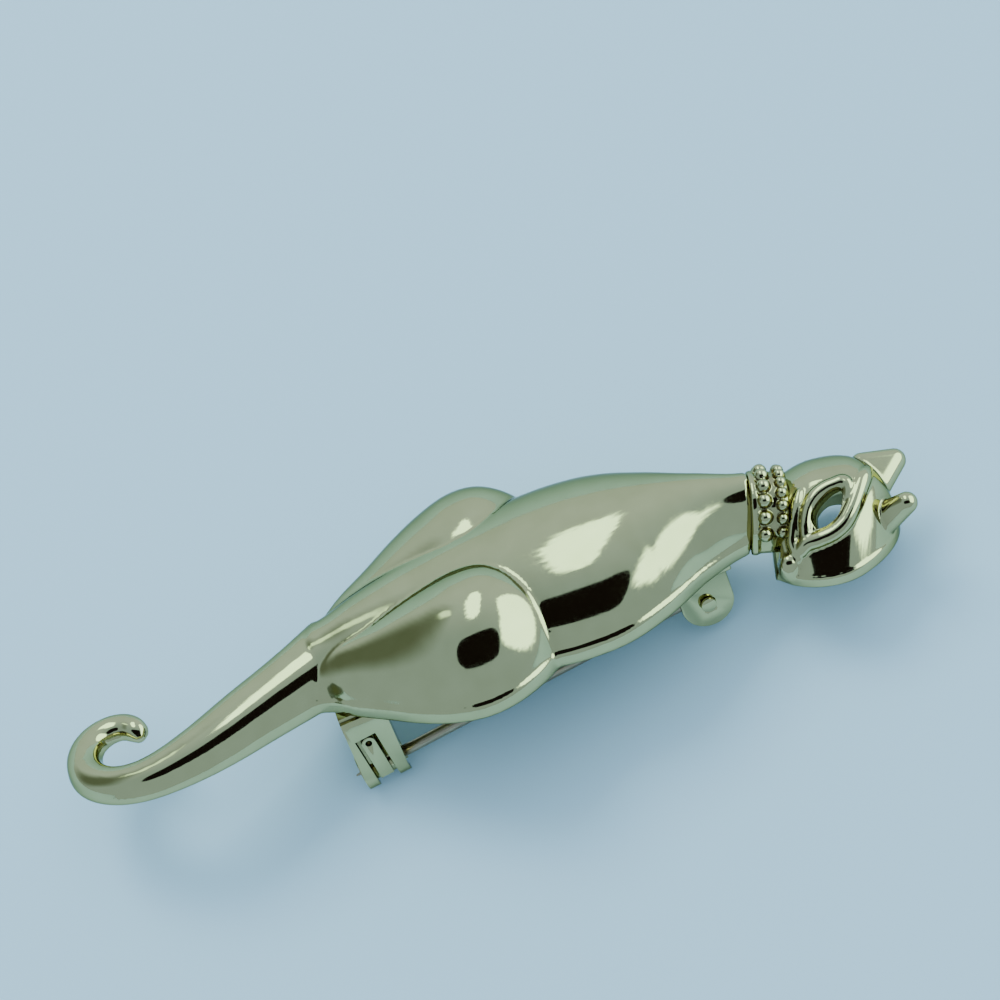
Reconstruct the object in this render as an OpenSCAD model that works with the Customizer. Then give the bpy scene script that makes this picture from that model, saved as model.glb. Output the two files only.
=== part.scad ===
// Figural cat brooch, in millimetres. The shapes are built in the brooch's own axes: x towards
// the head, y across, z out of the front, and the flat back in the plane z = 0. The last step
// lays the brooch down as it rests by itself, on its far haunch, its hinge and its catch.

/* [Trunk] */
// Length of the trunk from the tail root to the collar
body_l = 31; // [30:0.2:33]
// Width of the trunk at the shoulders
trunk_w = 17; // [15:0.2:18]
// Height of the trunk above the flat back
trunk_h = 7.2; // [6.6:0.1:7.8]
// Height of the belt line below which the sides turn under
belt_h = 1.5; // [1.1:0.1:1.9]
// Inward tuck of the lower edge
tuck = 0.6; // [0.3:0.05:0.8]
// Thickness of the cast wall
wall = 1.3; // [1.1:0.05:1.5]

/* [Haunches] */
// Length of a haunch
haunch_l = 17.8; // [16.6:0.2:19]
// Width over both haunches
haunch_span = 22.8; // [21.4:0.2:24.4]
// Width of one haunch
haunch_w = 13; // [12:0.2:14]
// Height of a haunch
haunch_h = 7.2; // [6.7:0.1:7.6]

/* [Tail] */
// Length of the tail along its middle line
tail_l = 30.4; // [29:0.2:32]
// Width at the root
tail_w = 5.8; // [5.2:0.1:6.2]
// Height at the root
tail_h = 4.6; // [4.2:0.1:5]
// Angle between the tail and the trunk
tail_angle = 27; // [24:1:30]
// Turn of the hook at the end of the tail
curl = 285; // [250:5:295]

/* [Collar] */
// Width of the neck core inside the collar
core_w = 3.8; // [3.4:0.1:4.2]
// Height of the neck core
core_h = 4; // [3.6:0.1:4.3]
// Length of the collar
collar_l = 2.7; // [2.4:0.1:3]
// Thickness of the collar's band
band = 0.75; // [0.6:0.05:0.9]
// Diameter of the beads in the row next to the body
bead_d = 1.05; // [0.9:0.05:1.15]
// Diameter of the beads in the row next to the head
small_bead_d = 0.85; // [0.7:0.05:0.95]
// Forward lean of the collar
collar_lean = 16; // [12:1:20]

/* [Head] */
// Length of the head without the ears
head_l = 9.2; // [8.8:0.1:9.6]
// Width of the head
head_w = 11; // [10.4:0.1:11.4]
// Height of the head
head_h = 5.9; // [5.6:0.1:6.2]
// Wall of the hollow head
head_wall = 0.95; // [0.85:0.05:1.1]
// Height of the trunk's back above the head's back
head_drop = 1.6; // [1.3:0.1:1.9]
// Turn of the head towards the near side
head_turn = 4; // [2:1:6]
// Length of the eye opening
eye_l = 4.5; // [4.1:0.1:4.8]
// Width of the eye opening
eye_w = 2.3; // [1.9:0.1:2.5]
// Height of the raised eye rim and brow
relief = 0.32; // [0.25:0.02:0.4]
// Length of the near ear
ear_l = 2.5; // [2.2:0.1:2.8]
// Width of an ear
ear_w = 2.2; // [2:0.1:2.4]

/* [Pin and hinge] */
// Distance from the rivet to the middle of the catch
pin_l = 25.8; // [25:0.2:26.4]
// Diameter of the pin stem
stem_d = 0.84; // [0.7:0.02:0.9]
// Depth of the rivet below the back
hinge_drop = 2.8; // [2.6:0.1:3.2]
// Width of the hinge plate, whose end is a half round
hinge_w = 3.9; // [3.4:0.1:4.2]
// Thickness of each hinge ear
ear_t = 0.75; // [0.6:0.05:0.9]
// Diameter of the rivet
rivet_d = 0.8; // [0.6:0.05:0.9]

/* [Catch] */
// Length of the catch along the pin
catch_l = 3.3; // [3:0.1:3.6]
// Outer diameter of the barrel
barrel_d = 2.7; // [2.6:0.05:2.9]
// Wall of the barrel
barrel_wall = 0.4; // [0.35:0.01:0.42]
// Wall of the turning sleeve
sleeve_wall = 0.38; // [0.34:0.01:0.4]
// Width of the lever
lever_w = 1; // [0.8:0.05:1.1]
// Height of the lever above the barrel's axis
lever_l = 3.4; // [3:0.1:3.6]

/* [Hidden] */
gold = [0.80, 0.76, 0.55];
steel = [0.62, 0.57, 0.50];
// Gap at a soldered seat, and clearance of what turns
seam = 0.04;
play = 0.05;
// Place of the tail root and of the collar along the trunk
root_x = -12.6;
neck_x = root_x + body_l;

// Trunk sections at even steps from the tail root to the collar: side offset as a share of
// trunk_w, half width as a share of trunk_w / 2, and height as a share of trunk_h
TRUNK = [
    [-0.115, 0.41, 0.65],
    [-0.088, 0.52, 0.75],
    [-0.062, 0.63, 0.83],
    [-0.040, 0.75, 0.89],
    [-0.024, 0.87, 0.94],
    [-0.014, 0.96, 0.98],
    [-0.012, 0.99, 1.00],
    [-0.010, 0.94, 0.99],
    [-0.004, 0.75, 0.95],
    [ 0.004, 0.46, 0.85],
    [ 0.006, 0.28, 0.72]
];
// Haunch sections at even steps: distance from the trunk's middle as a share of haunch_span / 2,
// half width as a share of haunch_w / 2, and height as a share of haunch_h
HAUNCH = [
    [0.15, 0.33, 0.47],
    [0.22, 0.49, 0.60],
    [0.28, 0.65, 0.69],
    [0.34, 0.81, 0.80],
    [0.39, 0.92, 0.90],
    [0.42, 0.98, 0.98],
    [0.43, 1.00, 1.00],
    [0.44, 0.98, 0.98],
    [0.47, 0.94, 0.93]
];
// Tail sections at even steps from the root to the tip: turn so far as a share of curl, half
// width as a share of tail_w / 2, and height as a share of tail_h
TAIL = [
    [0.000, 1.00, 1.00],
    [0.000, 0.94, 0.93],
    [0.000, 0.87, 0.85],
    [0.000, 0.80, 0.76],
    [0.026, 0.70, 0.65],
    [0.072, 0.58, 0.54],
    [0.180, 0.50, 0.47],
    [0.310, 0.48, 0.43],
    [0.450, 0.44, 0.39],
    [0.700, 0.39, 0.35],
    [1.020, 0.30, 0.28]
];
// Head sections at even steps: half width as a share of head_w / 2, and height of head_h
HEAD = [
    [0.66, 0.70],
    [0.84, 0.83],
    [0.95, 0.92],
    [1.00, 0.98],
    [1.00, 1.00],
    [0.95, 1.01],
    [0.88, 1.00],
    [0.82, 0.97],
    [0.76, 0.92]
];

// One column of a table of even steps, at the share u of its length, on a smooth curve
function row(t, i) = t[max(0, min(len(t) - 1, i))];
function curve(a, b, c, d, f) =
    b + 0.5 * f * (c - a + f * (2 * a - 5 * b + 4 * c - d + f * (3 * (b - c) + d - a)));
function smooth(t, col, u) =
    let (s = u * (len(t) - 1), i = min(len(t) - 2, floor(s)))
    curve(row(t, i - 1)[col], row(t, i)[col], row(t, i + 1)[col], row(t, i + 2)[col], s - i);
// Rounded end of a form from the share u0 of its length on
function cap(u, u0) = sqrt(max(0, 1 - pow(max(0, (u - u0) / (1 - u0)), 2)));

// Section of a domed bar: half width a, height h, belt height b, tuck k, in steps of turn
function dome(a, h, b, k, turn = 12) = concat(
    [for (t = [0 : turn : 180])
        [a * sign(cos(t)) * pow(abs(cos(t)), 0.9), b + (h - b) * pow(abs(sin(t)), 0.92)]],
    [[-(a - k * 0.3), b * 0.4], [-(a - k), 0], [a - k, 0], [a - k * 0.3, b * 0.4]]);
// Hollow of a domed bar, run out below its back
function hollow(a, h, k, w) =
    let (i = max(0.2, a - k - w), j = max(0.3, h - w))
    concat([for (t = [0 : 18 : 180]) [i * cos(t), j * sin(t)]], [[-i, -1], [i, -1]]);
// Section stood up at a place, square to a heading in plan
function stand(pts, at, heading = 0) =
    [for (p = pts) [at.x + p.x * sin(heading), at.y - p.x * cos(heading), at.z + p.y]];

// Skin over a row of sections with the same number of points, closed at both ends
module loft(rings) {
    n = len(rings[0]);
    m = len(rings);
    polyhedron(points = [for (r = rings) for (p = r) p], faces = concat(
        [[for (i = [n - 1 : -1 : 0]) i]],
        [for (j = [0 : m - 2]) for (i = [0 : n - 1])
            let (a = j * n + i, b = j * n + (i + 1) % n) each [[a, b, a + n], [b, b + n, a + n]]],
        [[for (i = [0 : n - 1]) (m - 1) * n + i]]));
}
// Bead of metal drawn along a line of points
module bead_line(points, r) {
    for (i = [0 : len(points) - 2]) hull() {
        translate(points[i]) sphere(r, $fn = 8);
        translate(points[i + 1]) sphere(r, $fn = 8);
    }
}

// Trunk: hollow between the two soldered seats
TRUNK_N = 22;
function trunk_at(u) = [root_x + u * body_l, smooth(TRUNK, 0, u) * trunk_w, 0];
function trunk_a(u) = smooth(TRUNK, 1, u) * trunk_w / 2;
function trunk_z(u) = smooth(TRUNK, 2, u) * trunk_h;
// The sections lean forward over the last fifth, to end square to the collar
function trunk_shear(u) = tan(collar_lean) * max(0, 5 * u - 4);
trunk_rings = [for (i = [0 : TRUNK_N]) let (u = i / TRUNK_N)
    [for (p = stand(dome(trunk_a(u), trunk_z(u), belt_h, tuck), trunk_at(u)))
        p + [p.z * trunk_shear(u), 0, 0]]];
trunk_hollow = [for (i = [4 : TRUNK_N - 6]) let (u = i / TRUNK_N)
    stand(hollow(trunk_a(u), trunk_z(u), tuck, wall), trunk_at(u))];

// Haunch: a drop that grows out of the tail root and ends round behind the waist
HAUNCH_N = 16;
haunch_round = 0.6;
function haunch_u(i) = sin(90 * i / HAUNCH_N);
function haunch_a(u) = max(0.1, smooth(HAUNCH, 1, u) * cap(u, haunch_round) * haunch_w / 2);
function haunch_z(u) =
    max(belt_h + 0.1, smooth(HAUNCH, 2, u) * pow(cap(u, haunch_round), 0.8) * haunch_h);
function haunch_at(u, side) = [
    root_x - 0.4 + u * haunch_l,
    trunk_at(u / 2).y + side * smooth(HAUNCH, 0, u) * haunch_span / 2,
    0];
function haunch_rings(side) = [for (i = [0 : HAUNCH_N]) let (u = haunch_u(i), a = haunch_a(u))
    stand(dome(a, haunch_z(u), belt_h, min(tuck, a / 2)), haunch_at(u, side))];
function haunch_hollow(side) = [for (i = [5 : HAUNCH_N - 3]) let (u = haunch_u(i))
    stand(hollow(haunch_a(u), haunch_z(u), tuck, wall), haunch_at(u, side))];

// Tail: straight from its root, then turning ever faster into the hook at its end
TAIL_N = 36;
tail_round = 0.96;
tail_start = [root_x + 0.86, trunk_at(0).y + 0.3, 0];
function tail_heading(s) = 180 + tail_angle - curl * smooth(TAIL, 0, s);
function tail_at(i) = i == 0 ? tail_start :
    let (h = tail_heading((i - 0.5) / TAIL_N))
    tail_at(i - 1) + tail_l / TAIL_N * [cos(h), sin(h), 0];
function tail_a(s) = max(0.25, smooth(TAIL, 1, s) * tail_w / 2 * cap(s, tail_round));
function tail_z(s) = max(0.6, smooth(TAIL, 2, s) * tail_h * cap(s, tail_round));
tail_rings = [for (i = [0 : TAIL_N]) let (s = i / TAIL_N, a = tail_a(s), h = tail_z(s))
    stand(dome(a, h, min(belt_h, h * 0.4), min(tuck, a * 0.3), 18), tail_at(i), tail_heading(s))];

// Neck, in axes that lean forward with the collar
core_z = 0.65;
core_end = collar_l + 1.4;
// The plug that carries the head is a smaller length of the neck core
plug = 0.76;
module on_neck() translate([neck_x, 0, 0]) rotate([0, collar_lean, 0]) children();
// Prism of a domed section along x, from x0 to x1
module domed_prism(a, h, z0, x0, x1)
    translate([x0, 0, z0]) rotate([90, 0, 90]) linear_extrude(x1 - x0)
        polygon(dome(a, h, h * 0.3, a * 0.1));

module body() {
    color(gold) {
        difference() {
            union() {
                loft(trunk_rings);
                for (side = [-1, 1]) loft(haunch_rings(side));
            }
            loft(trunk_hollow);
            for (side = [-1, 1]) loft(haunch_hollow(side));
        }
        loft(tail_rings);
        on_neck() {
            domed_prism(core_w / 2, core_h, core_z, -1, collar_l);
            domed_prism(core_w / 2 * plug, core_h * plug, core_z, collar_l - 0.3, core_end);
        }
    }
}

collar_z = core_z * 0.5;
collar_a = core_w / 2 + band;
collar_h = core_h + band + core_z - collar_z;
// Room for the beads in the head's seat for the collar
collar_room = small_bead_d / 2 + 2 * seam;
// Bead on the band, at a share of the collar's length and an angle round it
module bead(share, t, d)
    translate([collar_l * share, collar_a * cos(t), collar_z + collar_h * (0.3 + 0.7 * sin(t))])
        sphere(d = d, $fn = 16);
module collar() {
    color(gold) on_neck() {
        difference() {
            domed_prism(collar_a, collar_h, collar_z, seam, collar_l);
            domed_prism(core_w / 2 + seam, core_h + 2 * seam, core_z - seam, -1, collar_l + 1);
        }
        for (t = [6 : 21 : 174]) bead(0.36, t, bead_d);
        for (t = [8 : 16.4 : 173]) bead(0.82, t, small_bead_d);
    }
}

// Head, in its own axes: x from the chin to the forehead, z out of its own flat back. Its face is
// turned to the near side, so it has one eye, with the muzzle at its near chin corner
HEAD_N = 16;
head_side = -0.1;
head_round = 0.55;
head_top_round = 0.68;
head_belt = head_h * 0.19;
head_tuck = head_wall * 0.4;
chin_x = 1.45;
chin_slant = 18;
head_lean = collar_lean * 0.3;
module on_head()
    translate([neck_x + chin_x, head_side, -head_drop]) rotate([0, head_lean, -head_turn]) children();
function head_u(i) = sin(90 * i / HEAD_N);
function head_a(u) = max(0.3, smooth(HEAD, 0, u) * cap(u, head_round) * head_w / 2);
function head_z(u) =
    max(head_belt + 0.2, smooth(HEAD, 1, u) * pow(cap(u, head_top_round), 0.7) * head_h);
head_rings = [for (i = [0 : HEAD_N]) let (u = head_u(i), a = head_a(u))
    stand(dome(a, head_z(u), head_belt, min(head_tuck, a / 2)), [u * head_l, 0, 0])];
// The hollow begins round behind the eye's low corner
hollow_from = 0.34;
hollow_full = 0.54;
head_hollow = [for (i = [0 : HEAD_N])
    let (t = i / HEAD_N, u = hollow_from + (0.97 - hollow_from) * t * t,
         f = 1 - pow(max(0, (hollow_full - u) / (hollow_full - hollow_from)), 2))
    stand(
        hollow(head_a(u) * (0.3 + 0.7 * sqrt(f)), head_z(u), head_tuck / 2, head_wall),
        [u * head_l, 0, 0])];
// Height of the head's surface over a place in plan
function head_top(x, y) =
    let (u = x / head_l, c = min(0.999, abs(y) / head_a(u)))
    head_belt + (head_z(u) - head_belt) * pow(1 - pow(c, 2.2), 0.5);
function on_top(p) = let (x = p.x * head_l, y = p.y * head_w) [x, y, head_top(x, y)];

// Eye: its two corners in plan, as shares of head_l and of head_w
eye_low = [0.38, -0.38];
eye_high = [0.67, -0.06];
eye_mid = (eye_low + eye_high) / 2;
eye_turn = atan2((eye_high.y - eye_low.y) * head_w, (eye_high.x - eye_low.x) * head_l);
// Almond between the corners, its sides bowed by half the width
function almond(n, grow = 0) = [for (side = [-1, 1]) for (i = [0 : n - 1])
    let (t = 180 * i / n)
    [side * (eye_l / 2 + grow) * (1 - 2 * i / n), side * (eye_w / 2 + grow) * sin(t)]];
// A place of the almond on the cheek, whose slope foreshortens its width in plan
eye_slope = 36;
function eye_at(p) =
    let (x = p.x * cos(eye_turn) - p.y * cos(eye_slope) * sin(eye_turn),
         y = p.x * sin(eye_turn) + p.y * cos(eye_slope) * cos(eye_turn))
    on_top([eye_mid.x + x / head_l, eye_mid.y + y / head_w]);
// Brow: from the muzzle along the lower lid and over the crest to the root of the far ear
BROW = [
    [0.18, -0.475],
    [0.25, -0.470],
    [0.37, -0.420],
    [0.52, -0.375],
    [0.67, -0.230],
    [0.75, -0.090],
    [0.80,  0.060],
    [0.84,  0.160]
];
// Chin ridge: along the slanted chin edge, from the muzzle to the crest
CHIN = [
    [0.18, -0.450],
    [0.20, -0.427],
    [0.24, -0.370],
    [0.27, -0.300],
    [0.33, -0.165],
    [0.40, -0.035]
];

// Middle and radius of the rounded end of an ear; the far ear is the shorter one
function ear_r(side) = ear_w * (side < 0 ? 0.36 : 0.44);
function ear_end(side) = [
    head_l + ear_l * (side < 0 ? 0.5 : 0.28), side * head_w * 0.265, head_h * (side < 0 ? 0.62 : 0.58)];
module ear(side) {
    hull() {
        translate([head_l * 0.6, side * head_w * 0.26, head_h * 0.48]) sphere(d = ear_w, $fn = 14);
        translate([head_l * 0.72, side * head_w * 0.31, head_h * 0.28]) sphere(d = ear_w * 0.5, $fn = 14);
        translate([head_l * 0.86, side * head_w * 0.17, head_h * 0.57]) sphere(d = ear_w * 0.8, $fn = 14);
        translate(ear_end(side)) sphere(ear_r(side), $fn = 14);
    }
}
// Muzzle: a small round lobe at the near chin corner
module muzzle() translate([head_l * 0.13, -head_w * 0.375, head_belt * 1.25])
    scale([0.85, 0.75, 1.15]) sphere(head_w * 0.09, $fn = 20);

module head() {
    color(gold) difference() {
        on_head() difference() {
            union() {
                loft(head_rings);
                for (side = [-1, 1]) ear(side);
                rim = [for (p = almond(8, relief)) eye_at(p)];
                bead_line(concat(rim, [rim[0]]), relief);
                for (line = [BROW, CHIN]) bead_line([for (p = line) on_top(p)], relief);
                difference() {
                    muzzle();
                    translate([-head_l, -head_w, -head_h]) cube([2 * head_l, 2 * head_w, head_h]);
                }
            }
            loft(head_hollow);
            hull() for (p = almond(6)) {
                q = eye_at(p);
                translate(q + [0, -0.6, 1.2]) cube(0.02, center = true);
                translate(q + [0, 1.2, -2.4]) cube(0.02, center = true);
            }
            // The chin edge slants forward over the collar
            rotate([0, chin_slant, 0]) translate([-head_l, -head_w, -head_h])
                cube([head_l, 2 * head_w, 3 * head_h]);
        }
        // Recess for the neck's plug, and a seat for the end of the collar
        on_neck() {
            domed_prism(
                core_w / 2 * plug + seam, core_h * plug + 2 * seam, core_z - seam, 0, core_end + seam);
            domed_prism(
                collar_a + collar_room, collar_h + 2 * collar_room, collar_z - collar_room,
                0, collar_l + seam);
        }
    }
}

// Pin line: from the rivet towards the catch, x along it in plan, y to the near side
hinge_at = [14.3, -0.75];
pin_yaw = 9.7;
pin_dip = 6.3;
ear_gap = 1.1;
module on_pin_line() translate([hinge_at.x, hinge_at.y, 0]) rotate([0, 0, 180 + pin_yaw]) children();
module at_rivet() on_pin_line() translate([0, 0, -hinge_drop]) children();
module at_barrel() at_rivet() rotate([0, pin_dip, 0]) translate([pin_l, 0, 0]) children();
module cross_pin(r, l) rotate([90, 0, 0]) cylinder(r = r, h = l, center = true, $fn = 48);
module along_pin(r, l) rotate([0, 90, 0]) cylinder(r = r, h = l, center = true, $fn = 48);

base_t = 0.6;
hinge_t = ear_gap + 2 * ear_t;
module hinge_plate() {
    color(gold) difference() {
        union() {
            on_pin_line() translate([-hinge_w / 2 - 0.4, -hinge_t / 2 - 0.3, -base_t - seam])
                cube([hinge_w + 0.8, hinge_t + 0.6, base_t]);
            at_rivet() cross_pin(hinge_w / 2, hinge_t);
            on_pin_line() translate([-hinge_w / 2, -hinge_t / 2, -hinge_drop])
                cube([hinge_w, hinge_t, hinge_drop - base_t / 2 - seam]);
        }
        at_rivet() translate([-hinge_w, -ear_gap / 2, -hinge_w])
            cube([2 * hinge_w, ear_gap, hinge_w + hinge_drop - base_t - seam]);
        at_rivet() cross_pin(rivet_d / 2 + play, hinge_t + 2);
    }
}
module hinge_rivet() {
    head_t = 0.25;
    color(gold) at_rivet() {
        cross_pin(rivet_d / 2, hinge_t + 2 * seam);
        for (side = [-1, 1]) translate([0, side * (hinge_t / 2 + seam + head_t / 2), 0])
            cross_pin(rivet_d * 0.7, head_t);
    }
}
stem_l = pin_l + catch_l / 2 + 0.5;
point_l = 2;
hub_d = hinge_w * 0.65;
module pin_stem() {
    color(steel) at_rivet() rotate([0, pin_dip, 0]) difference() {
        union() {
            cross_pin(hub_d / 2, ear_gap - 2 * play);
            translate([hub_d * 0.35, 0, 0]) rotate([0, 90, 0])
                cylinder(d = stem_d, h = stem_l - point_l - hub_d * 0.35 + 0.02, $fn = 48);
            translate([stem_l - point_l, 0, 0]) rotate([0, 90, 0])
                cylinder(d1 = stem_d, d2 = stem_d * 0.15, h = point_l, $fn = 48);
        }
        cross_pin(rivet_d / 2 + play, ear_gap + 1);
    }
}

// Catch: a block on a base, with the barrel below and a slot in its near wall for the lever
bore_d = barrel_d - 2 * barrel_wall;
sleeve_d = bore_d - 2 * play;
mouth_w = 1.3;
lever_t = 0.55;
lever_y = barrel_d / 2 - 0.1 - lever_t;
slot_w = lever_w + 0.6;
catch_depth = hinge_drop + pin_l * sin(pin_dip);
catch_plan = pin_l * cos(pin_dip);
module catch_housing() {
    color(gold) difference() {
        union() {
            on_pin_line() translate([catch_plan - catch_l / 2 - 0.6, -barrel_d / 2 - 0.6, -base_t - seam])
                cube([catch_l + 0.6, barrel_d + 0.3, base_t]);
            on_pin_line() translate([catch_plan - catch_l / 2, -barrel_d / 2, -catch_depth])
                cube([catch_l, barrel_d, catch_depth - base_t / 2 - seam]);
            at_barrel() along_pin(barrel_d / 2, catch_l);
        }
        at_barrel() along_pin(bore_d / 2, catch_l + 4);
        at_barrel() translate([-catch_l, -mouth_w / 2, -barrel_d]) cube([2 * catch_l, mouth_w, barrel_d]);
        at_barrel() translate([-slot_w / 2, lever_y - 0.12, 0]) cube([slot_w, barrel_d, lever_l + 0.15]);
        at_barrel() translate([-slot_w / 2, 0, -barrel_d]) cube([slot_w, barrel_d, barrel_d + 0.6]);
        // Thickness of the post above the barrel, hollowed from the far side
        at_barrel() translate([-catch_l / 2 + 0.6, -barrel_d, barrel_d / 2])
            cube([catch_l - 1.2, barrel_d - 0.3, lever_l]);
    }
}
module catch_rotor() {
    color(gold) at_barrel() {
        difference() {
            union() {
                along_pin(sleeve_d / 2, catch_l - 0.2);
                translate([-lever_w / 2, 0.5, -0.3]) cube([lever_w, lever_y + lever_t - 0.5, 0.6]);
            }
            along_pin(sleeve_d / 2 - sleeve_wall, catch_l + 2);
            translate([-catch_l, -stem_d / 2 - 0.1, -barrel_d]) cube([2 * catch_l, stem_d + 0.2, barrel_d]);
        }
        difference() {
            union() {
                translate([-lever_w / 2, lever_y, -0.3])
                    cube([lever_w, lever_t, lever_l - lever_w / 2 + 0.3]);
                translate([0, lever_y + lever_t / 2, lever_l - lever_w / 2]) cross_pin(lever_w / 2, lever_t);
            }
            translate([0, lever_y, lever_l - lever_w / 2]) cross_pin(0.25, 4);
        }
    }
}

// Rest: the plane under the catch, the hinge and the far haunch, found in two rounds from a
// first guess of its direction
function pin_way(dip = 0) = [-cos(pin_yaw) * cos(dip), -sin(pin_yaw) * cos(dip), -sin(dip)];
rivet_way = [sin(pin_yaw), -cos(pin_yaw), 0];
rivet_at = [hinge_at.x, hinge_at.y, -hinge_drop];
barrel_at = rivet_at + pin_l * pin_way(pin_dip);
function unit(v) = v / norm(v);
// Point of a disc on a cross axis that reaches furthest along n
function disc_foot(at, way, r, half_t, n) =
    at + r * unit(n - (n * way) * way) + sign(n * way) * half_t * way;
function furthest(pts, n) = let (m = max([for (p = pts) p * n])) [for (p = pts) if (p * n == m) p][0];
far_haunch = [for (r = haunch_rings(1)) for (p = r) p];
function feet(n) = [
    disc_foot(barrel_at, pin_way(pin_dip), barrel_d / 2, catch_l / 2, n),
    disc_foot(rivet_at, rivet_way, hinge_w / 2, hinge_t / 2, n),
    furthest(far_haunch, n)];
function under(f) = let (m = unit(cross(f[1] - f[0], f[2] - f[0]))) m.z > 0 ? -m : m;
down = under(feet(under(feet([0, sin(25), -cos(25)]))));
lean = atan2(-down.y, -down.z);
pitch = atan2(down.x, norm([down.y, down.z]));
// Each place after the turn, and the middle of all of them
function turned(p) =
    let (y = p.y * cos(lean) - p.z * sin(lean), z = p.y * sin(lean) + p.z * cos(lean))
    [p.x * cos(pitch) + z * sin(pitch), y, z * cos(pitch) - p.x * sin(pitch)];
outline = [for (r = concat(trunk_rings, tail_rings, haunch_rings(1), haunch_rings(-1)))
    for (p = r) turned(p)];
// The near ear's tip, in the brooch's axes and then at rest
tip_at = ear_end(-1);
tip_x = tip_at.x * cos(head_lean) + tip_at.z * sin(head_lean);
ear_tip = [ear_r(-1), 0, 0] + turned([
    neck_x + chin_x + tip_x * cos(head_turn) + tip_at.y * sin(head_turn),
    head_side - tip_x * sin(head_turn) + tip_at.y * cos(head_turn),
    -head_drop - tip_at.x * sin(head_lean) + tip_at.z * cos(head_lean)]);
reach = concat(outline, [ear_tip]);
function middle(k) = (min([for (p = reach) p[k]]) + max([for (p = reach) p[k]])) / 2;
foot_z = turned(feet(down)[0]).z;
module at_rest()
    translate([-middle(0), -middle(1), -foot_z]) rotate([0, pitch, 0]) rotate([lean, 0, 0]) children();

at_rest() body();
at_rest() collar();
at_rest() head();
at_rest() hinge_plate();
at_rest() hinge_rivet();
at_rest() pin_stem();
at_rest() catch_housing();
at_rest() catch_rotor();
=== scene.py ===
import math

import bmesh
import bpy
from mathutils import Matrix, Vector


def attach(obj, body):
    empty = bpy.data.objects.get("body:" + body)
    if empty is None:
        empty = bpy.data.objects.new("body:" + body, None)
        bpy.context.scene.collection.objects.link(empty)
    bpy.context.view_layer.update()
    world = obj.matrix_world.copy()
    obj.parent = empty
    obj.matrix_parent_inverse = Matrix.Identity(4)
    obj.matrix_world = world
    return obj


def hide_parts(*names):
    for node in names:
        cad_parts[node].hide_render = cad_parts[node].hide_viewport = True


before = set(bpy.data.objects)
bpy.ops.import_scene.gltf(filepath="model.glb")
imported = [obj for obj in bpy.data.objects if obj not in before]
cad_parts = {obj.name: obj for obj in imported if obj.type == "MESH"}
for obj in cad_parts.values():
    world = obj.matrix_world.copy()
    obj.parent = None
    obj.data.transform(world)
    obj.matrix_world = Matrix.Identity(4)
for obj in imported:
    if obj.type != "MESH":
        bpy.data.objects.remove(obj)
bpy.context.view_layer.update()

# Body
# One hollow casting of white metal: the trunk, two haunches that lie against it, the curled tail
# and the core of the neck. Its lower edge turns under in a narrow belt and its back is open. It is
# tumbled bright and gold plated.

# Every piece is modelled in millimetres in the brooch's own axes: x from the tail towards the head,
# y across, z out of its front. It then lies down as the real one does on a table, on its catch, its
# hinge and the edge of its far haunch, which leans it over.
LEAN = math.radians(-25.8875)
PITCH = math.radians(-0.5716)
REST_PLACE = Vector((0.7877, -0.304, 4.3691))
MM = 0.001
at_rest = (
    Matrix.Scale(MM, 4)
    @ Matrix.Translation(REST_PLACE)
    @ Matrix.Rotation(PITCH, 4, "Y")
    @ Matrix.Rotation(LEAN, 4, "X")
)


def linear(hex_colour):
    """An sRGB colour such as #E8E4BE as linear red, green, blue and alpha."""
    channels = [int(hex_colour[i : i + 2], 16) / 255 for i in (1, 3, 5)]
    bent = [c / 12.92 if c <= 0.04045 else ((c + 0.055) / 1.055) ** 2.4 for c in channels]
    return (*bent, 1)


def add_node(tree, kind, settings=None, links=None):
    """Adds a node, sets its properties and sockets, and links other nodes' outputs to it.

    A socket goes by its name, or by its number where the name isn't its own.
    """
    node = tree.nodes.new(kind)
    for name, value in (settings or {}).items():
        if isinstance(name, int) or name in node.inputs:
            node.inputs[name].default_value = value
        else:
            setattr(node, name, value)
    for name, source in (links or {}).items():
        tree.links.new(source, node.inputs[name])
    return node


def new_material(name):
    material = bpy.data.materials.new(name)
    material.use_nodes = True
    material.node_tree.nodes.clear()
    return material, material.node_tree


# The plate is a pale champagne flash of gold. It is a mirror, only slightly softened and slightly
# wavy, because small castings are tumbled rather than lapped flat before they are plated.
GOLD = "#C4BB8A"
GOLD_WORN = "#B8AF7E"
EDGE_ON = "#A4ABA2"
GLOSS = (0.045, 0.11)
# Sizes in millimetres: the waves across, the waves' depth, the fine scuffs
ORANGE_PEEL = 1.6
PEEL_DEPTH = 0.06
FINE_SCUFF = 0.22
# Painted shade: creases and slots of this size, as far as ambient occlusion reaches, are darkened
# towards brown
PAINTED_SHADE = "#6A5236"
PAINTED_SHADE_REACH = 1.8
PAINTED_SHADE_OPEN = (0.3, 0.8)

gold_plate, tree = new_material("polished pale gold plate")
place = add_node(tree, "ShaderNodeTexCoord")
peel = add_node(
    tree,
    "ShaderNodeTexNoise",
    {"Scale": 1000 / ORANGE_PEEL, "Detail": 1.0, "Roughness": 0.4},
    {"Vector": place.outputs["Object"]},
)
scuff = add_node(
    tree,
    "ShaderNodeTexNoise",
    {"Scale": 1000 / FINE_SCUFF, "Detail": 2.0, "Roughness": 0.6},
    {"Vector": place.outputs["Object"]},
)
wear = add_node(
    tree,
    "ShaderNodeMapRange",
    {"From Min": 0.35, "From Max": 0.75, "To Min": GLOSS[0], "To Max": GLOSS[1]},
    {"Value": scuff.outputs["Fac"]},
)
tint = add_node(
    tree,
    "ShaderNodeMix",
    {"data_type": "RGBA", 6: linear(GOLD), 7: linear(GOLD_WORN)},
    {"Factor": peel.outputs["Fac"]},
)
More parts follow.
